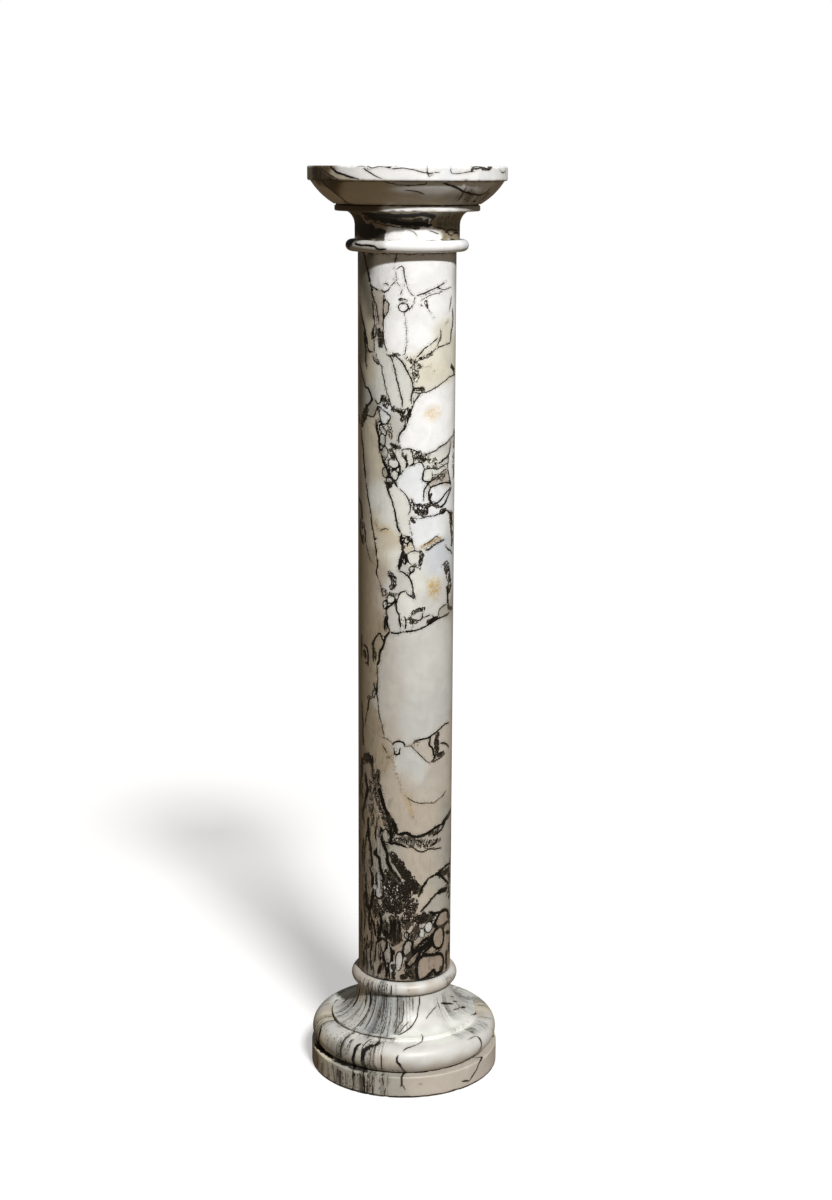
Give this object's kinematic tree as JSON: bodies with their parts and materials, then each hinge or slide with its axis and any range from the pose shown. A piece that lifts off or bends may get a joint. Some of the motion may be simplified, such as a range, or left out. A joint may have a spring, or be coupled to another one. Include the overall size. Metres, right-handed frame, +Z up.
{
  "type": "marble column",
  "caption": "Free-standing round marble column with a turned base, a plain shaft and a turned capital, for carrying a bust, vase or plant.",
  "frame": {"origin": "on the column's axis, at the middle of the plinth's underside", "axes": "+Z up along the column's axis, -Y towards the viewer of the picture, +X to the viewer's right"},
  "size_m": [0.232, 0.232, 1.1],
  "materials": {
    "turned_marble": "polished pale marble with dark veins",
    "veined_marble": "polished brecciated marble, pale fragments in dark veins"
  },
  "bodies": {
    "root": {"base": "turned_marble", "shaft": "veined_marble", "capital": "turned_marble"}
  },
  "joints": []
}
